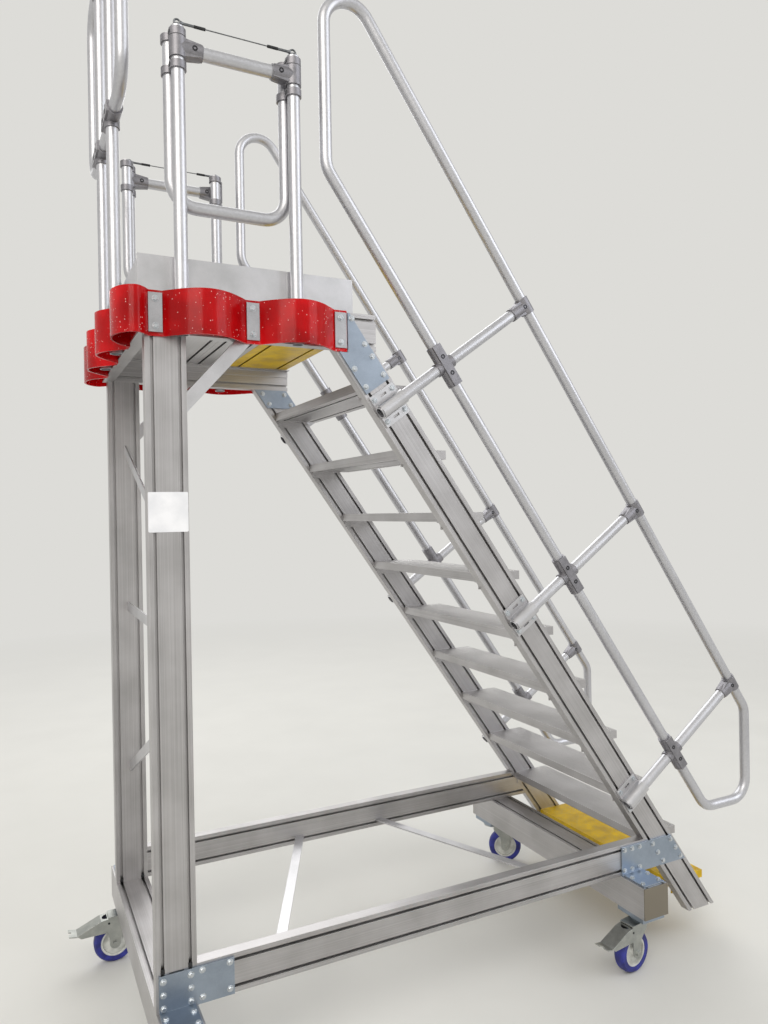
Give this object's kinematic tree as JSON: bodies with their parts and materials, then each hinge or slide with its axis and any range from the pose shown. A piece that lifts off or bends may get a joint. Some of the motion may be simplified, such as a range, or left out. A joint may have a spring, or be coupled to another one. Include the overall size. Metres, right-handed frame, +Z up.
{
  "type": "mobile aircraft access stairs",
  "caption": "Braked wheeled access stairs: slotted aluminium frame, sloping stair with looped handrails, and a guarded deck with a red scalloped bumper.",
  "frame": {"origin": "on the floor, under the middle of the bounding box", "axes": "+X from the aircraft end to the foot of the stair, +Y to the climber's right, +Z up"},
  "size_m": [2.6621, 1.188, 3.746],
  "materials": {
    "mill_aluminium": "mill finish, extruded",
    "bright_aluminium": "brushed",
    "satin_tube": "satin polished",
    "cast_fitting": "galvanised casting",
    "zinc_steel": "bright zinc plated",
    "yellow_paint": "satin paint",
    "red_bumper": "glossy, slightly clear",
    "wheel_hub": "satin",
    "tyre_rubber": "matt"
  },
  "bodies": {
    "chassis": {"cross_beam_rear": "mill_aluminium", "cross_beam_front": "mill_aluminium", "side_rail_left": "mill_aluminium", "side_rail_right": "mill_aluminium", "post_left": "mill_aluminium", "post_right": "mill_aluminium", "base_braces": "mill_aluminium", "post_braces": "mill_aluminium", "knee_braces": "mill_aluminium", "platform_beam_left": "mill_aluminium", "platform_beam_right": "mill_aluminium", "platform_end_beam": "mill_aluminium", "deck_ledges": "mill_aluminium", "deck_planks": "mill_aluminium", "deck_yellow_edge": "yellow_paint", "toe_boards": "mill_aluminium", "bumper": "red_bumper", "bumper_strips": "bright_aluminium", "guard_posts": "satin_tube", "guard_top_rails": "satin_tube", "guard_u_rails": "satin_tube", "guard_fittings": "cast_fitting", "end_guard_posts": "satin_tube", "end_guard_loop": "satin_tube", "end_guard_fittings": "cast_fitting", "stringer_left": "mill_aluminium", "stringer_right": "mill_aluminium", "treads": "mill_aluminium", "bottom_tread": "yellow_paint", "joint_plates": "zinc_steel", "handrail_left": "satin_tube", "handrail_right": "satin_tube", "outriggers": "satin_tube", "handrail_fittings": "cast_fitting", "outrigger_brackets": "bright_aluminium", "castor_plates": "zinc_steel"},
    "swivel_rear_left": {"fork_rear_left": "zinc_steel"},
    "wheel_rear_left": {"hub_rear_left": "wheel_hub", "tyre_rear_left": "tyre_rubber"},
    "swivel_rear_right": {"fork_rear_right": "zinc_steel"},
    "wheel_rear_right": {"hub_rear_right": "wheel_hub", "tyre_rear_right": "tyre_rubber"},
    "swivel_front_left": {"fork_front_left": "zinc_steel"},
    "wheel_front_left": {"hub_front_left": "wheel_hub", "tyre_front_left": "tyre_rubber"},
    "swivel_front_right": {"fork_front_right": "zinc_steel"},
    "wheel_front_right": {"hub_front_right": "wheel_hub", "tyre_front_right": "tyre_rubber"}
  },
  "joints": [
    {"name": "swivel_rear_left_turn", "type": "hinge", "parent": "chassis", "child": "swivel_rear_left", "pos_m": [-1.09702, -0.511, 0.2], "axis": [0, 0, 1], "continuous": true},
    {"name": "wheel_rear_left_roll", "type": "hinge", "parent": "swivel_rear_left", "child": "wheel_rear_left", "pos_m": [-1.15902, -0.511, 0.08], "axis": [0, -1, 0], "continuous": true},
    {"name": "swivel_rear_right_turn", "type": "hinge", "parent": "chassis", "child": "swivel_rear_right", "pos_m": [-1.09702, 0.511, 0.2], "axis": [0, 0, 1], "continuous": true},
    {"name": "wheel_rear_right_roll", "type": "hinge", "parent": "swivel_rear_right", "child": "wheel_rear_right", "pos_m": [-1.15902, 0.511, 0.08], "axis": [0, -1, 0], "continuous": true},
    {"name": "swivel_front_left_turn", "type": "hinge", "parent": "chassis", "child": "swivel_front_left", "pos_m": [0.68295, -0.511, 0.2], "axis": [0, 0, 1], "continuous": true},
    {"name": "wheel_front_left_roll", "type": "hinge", "parent": "swivel_front_left", "child": "wheel_front_left", "pos_m": [0.62156, -0.51963, 0.08], "axis": [0.1392, -0.9903, 0], "continuous": true},
    {"name": "swivel_front_right_turn", "type": "hinge", "parent": "chassis", "child": "swivel_front_right", "pos_m": [0.68295, 0.511, 0.2], "axis": [0, 0, 1], "continuous": true},
    {"name": "wheel_front_right_roll", "type": "hinge", "parent": "swivel_front_right", "child": "wheel_front_right", "pos_m": [0.73665, 0.48, 0.08], "axis": [0.5, 0.866, 0], "continuous": true}
  ]
}
